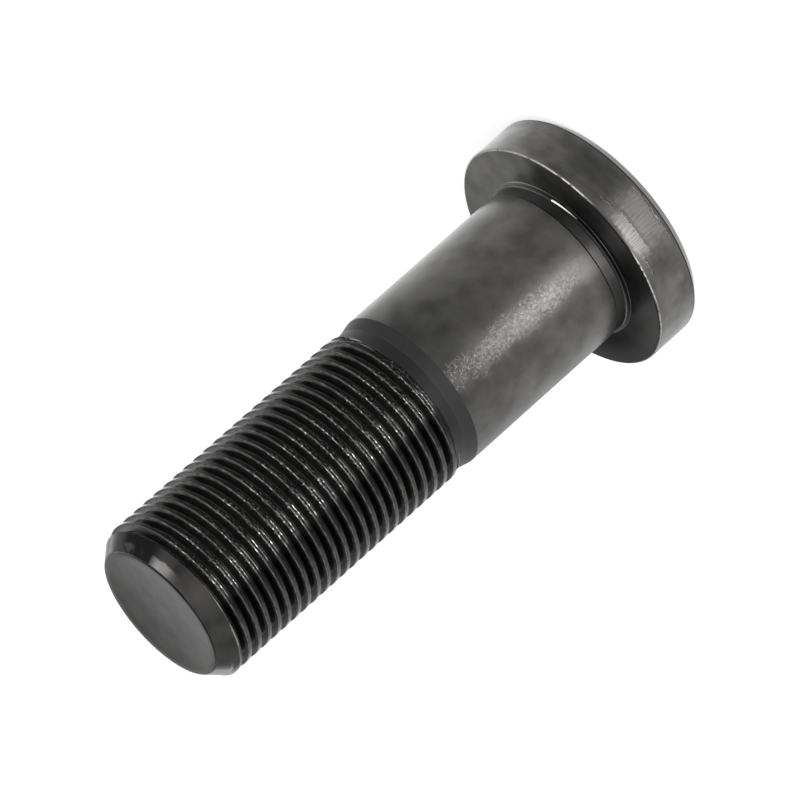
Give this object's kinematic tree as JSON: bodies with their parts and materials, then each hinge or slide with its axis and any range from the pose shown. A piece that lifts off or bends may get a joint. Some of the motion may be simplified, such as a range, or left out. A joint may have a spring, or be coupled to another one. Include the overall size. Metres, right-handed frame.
{
  "type": "wheel stud",
  "caption": "Forged steel wheel stud with a round flanged head, a plain press-fit shank, a relief neck and a metric fine thread with a chamfered tip.",
  "frame": {"origin": "centre of the flat outer face of the head, which the stud stands on", "axes": "+Z along the stud's axis, from the head to the threaded tip"},
  "size_m": [0.0292, 0.0292, 0.069],
  "materials": {
    "phosphated_steel": "black phosphated and oiled forged steel, satin dark grey"
  },
  "bodies": {
    "root": {"wheel_stud": "phosphated_steel"}
  },
  "joints": []
}
